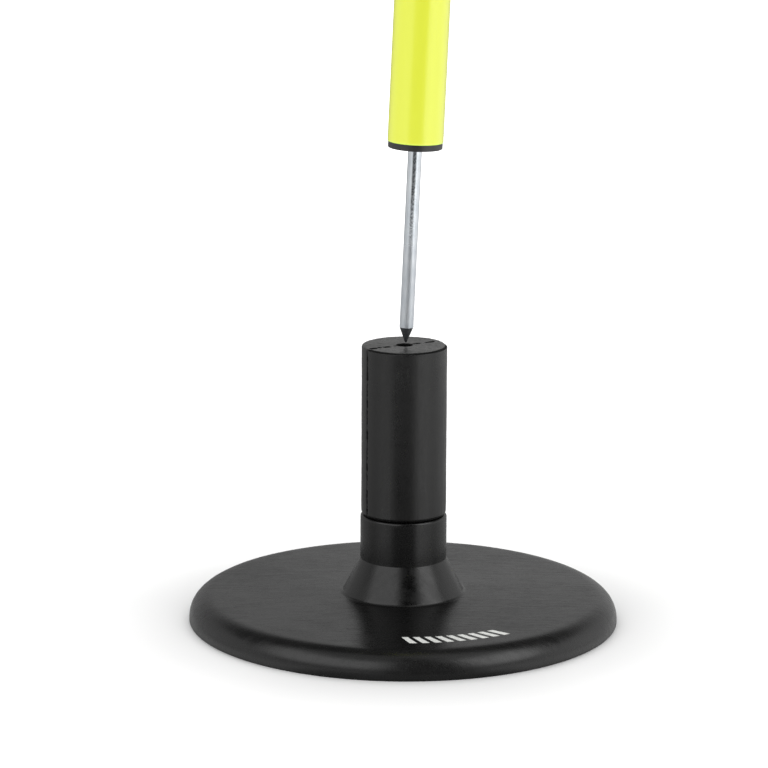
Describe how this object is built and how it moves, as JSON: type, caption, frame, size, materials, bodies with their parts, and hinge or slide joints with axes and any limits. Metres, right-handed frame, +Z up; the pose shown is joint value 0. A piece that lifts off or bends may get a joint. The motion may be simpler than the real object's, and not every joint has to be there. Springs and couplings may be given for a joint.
{
  "type": "spiked coaching pole with rubber base",
  "caption": "Fluorescent coaching pole with a steel ground spike, drawn out of the bored rubber adapter that stands in the hub of a round weighted base.",
  "frame": {"origin": "centre of the base's underside, on the ground", "axes": "+Z up along the hub; the pole leans 2.4 degrees towards +X; the printed mark on the disc faces -Y and +X"},
  "size_m": [0.25, 0.25, 1.7854],
  "materials": {
    "base_rubber": "moulded black rubber with a soft satin sheen and faint mottling",
    "adapter_rubber": "moulded black rubber, dusty top face, rough mould seam",
    "zinc_steel": "bright zinc plating with faint turning marks",
    "plug_black": "satin moulded plastic",
    "pole_yellow": "fluorescent yellow extruded plastic, semi-gloss",
    "cap_black": "satin moulded plastic"
  },
  "bodies": {
    "base": {"rubber_base": "base_rubber"},
    "adapter": {"spike_adapter": "adapter_rubber"},
    "pole": {"ground_spike": "zinc_steel", "foot_plug": "plug_black", "pole_tube": "pole_yellow", "top_cap": "cap_black"}
  },
  "joints": [
    {"name": "adapter_lift", "type": "slide", "parent": "base", "child": "adapter", "axis": [0, 0, 1], "range_m": [0, 0.055]},
    {"name": "pole_slide", "type": "slide", "parent": "adapter", "child": "pole", "axis": [0.0419, 0, 0.9991], "range_m": [-0.1134, 0.15]}
  ]
}
